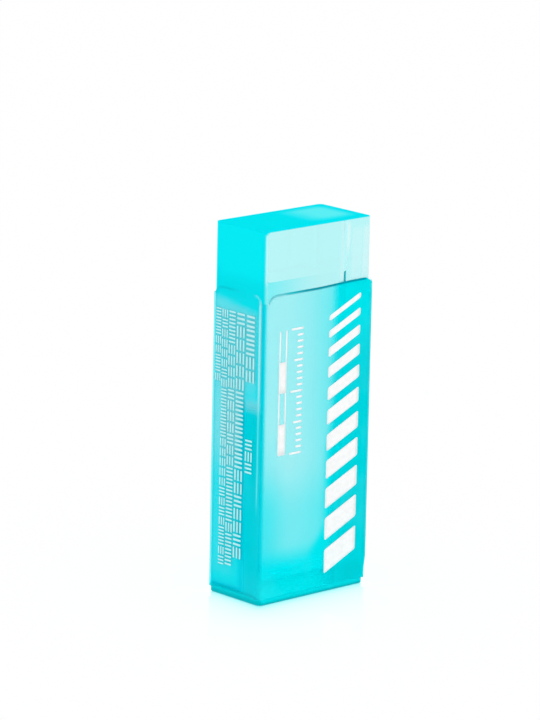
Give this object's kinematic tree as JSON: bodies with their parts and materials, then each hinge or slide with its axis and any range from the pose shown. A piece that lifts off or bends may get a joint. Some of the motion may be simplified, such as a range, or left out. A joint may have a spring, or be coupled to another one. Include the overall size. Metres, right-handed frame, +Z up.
{
  "type": "block eraser",
  "caption": "Clear cyan block eraser in a folded clear plastic sleeve that slides along it, with relief notches at the sleeve's upper folds.",
  "frame": {"origin": "centre of the eraser block's lower end, on the surface it stands on", "axes": "+Z up along the block's length, the wide front panel faces -Y, the sleeve's lap seam is on the narrow +X side"},
  "size_m": [0.0234, 0.0126, 0.06],
  "materials": {
    "eraser_compound": "clear cyan eraser compound, smooth, faintly hazy",
    "clear_sheet": "clear cyan-tinted plastic sheet, glossy",
    "adhesive_film": "clear dried adhesive, slightly milky",
    "print_ink": "opaque white print on the sleeve, satin"
  },
  "bodies": {
    "eraser": {"eraser_block": "eraser_compound"},
    "sleeve": {"sleeve": "clear_sheet", "seam_adhesive": "adhesive_film"}
  },
  "joints": [
    {"name": "sleeve_slide", "type": "slide", "parent": "eraser", "child": "sleeve", "axis": [0, 0, 1], "range_m": [-0.00095, 0.06]}
  ]
}
